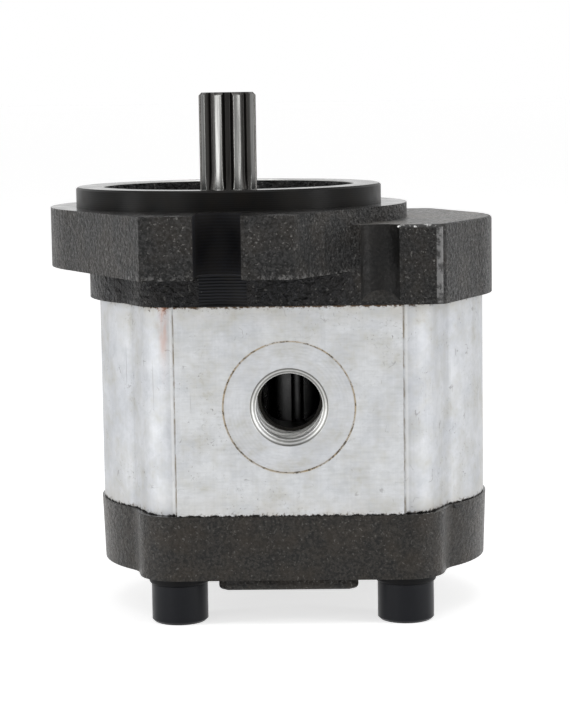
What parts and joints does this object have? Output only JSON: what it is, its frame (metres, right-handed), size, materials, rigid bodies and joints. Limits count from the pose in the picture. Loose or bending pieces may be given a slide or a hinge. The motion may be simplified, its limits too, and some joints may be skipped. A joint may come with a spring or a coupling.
{
  "type": "hydraulic gear pump",
  "caption": "External gear pump with a slotted mounting flange, round pilot, splined drive shaft and threaded side ports in an aluminium body between cast iron covers.",
  "frame": {"origin": "centre of the pilot at the mounting face", "axes": "+Z along the drive shaft towards its splined end, +X from the drive gear to the driven gear, -Y out of the outlet port"},
  "size_m": [0.1193, 0.13, 0.1382],
  "materials": {
    "iron_cover": "sand cast and darkened, with machined pilot and joint faces",
    "aluminium_body": "extruded, with faced ports",
    "gear_steel": "case hardened and ground",
    "aluminium_block": "machined",
    "bush_bronze": "turned",
    "plated_steel": "pressed",
    "seal_rubber": "moulded",
    "spring_steel": "oiled",
    "backup_plastic": "cut strip",
    "dowel_steel": "ground",
    "black_steel": "black oxide"
  },
  "bodies": {
    "housing": {"front_cover": "iron_cover", "pump_body": "aluminium_body", "rear_cover": "iron_cover", "front_bearing_block": "aluminium_block", "rear_bearing_block": "aluminium_block", "front_drive_bush": "bush_bronze", "front_idler_bush": "bush_bronze", "rear_drive_bush": "bush_bronze", "rear_idler_bush": "bush_bronze", "shaft_seal_case": "plated_steel", "shaft_seal_lip": "seal_rubber", "seal_garter_spring": "spring_steel", "seal_snap_ring": "spring_steel", "front_body_seal": "seal_rubber", "rear_body_seal": "seal_rubber", "front_pressure_seal": "seal_rubber", "rear_pressure_seal": "seal_rubber", "front_backup_strip": "backup_plastic", "rear_backup_strip": "backup_plastic", "front_dowel_pins": "dowel_steel", "rear_dowel_pins": "dowel_steel", "cover_screws": "black_steel", "screw_washers": "black_steel"},
    "drive_rotor": {"drive_gear_shaft": "gear_steel"},
    "idler_rotor": {"idler_gear_shaft": "gear_steel"}
  },
  "joints": [
    {"name": "drive_spin", "type": "hinge", "parent": "housing", "child": "drive_rotor", "pos_m": [0, 0, 0], "axis": [0, 0, 1], "continuous": true},
    {"name": "idler_spin", "type": "hinge", "parent": "housing", "child": "idler_rotor", "pos_m": [0.033, 0, 0], "axis": [0, 0, 1], "continuous": true}
  ],
  "couplings": [
    {"joint": "idler_spin", "follows": "drive_spin", "ratio": -1}
  ]
}
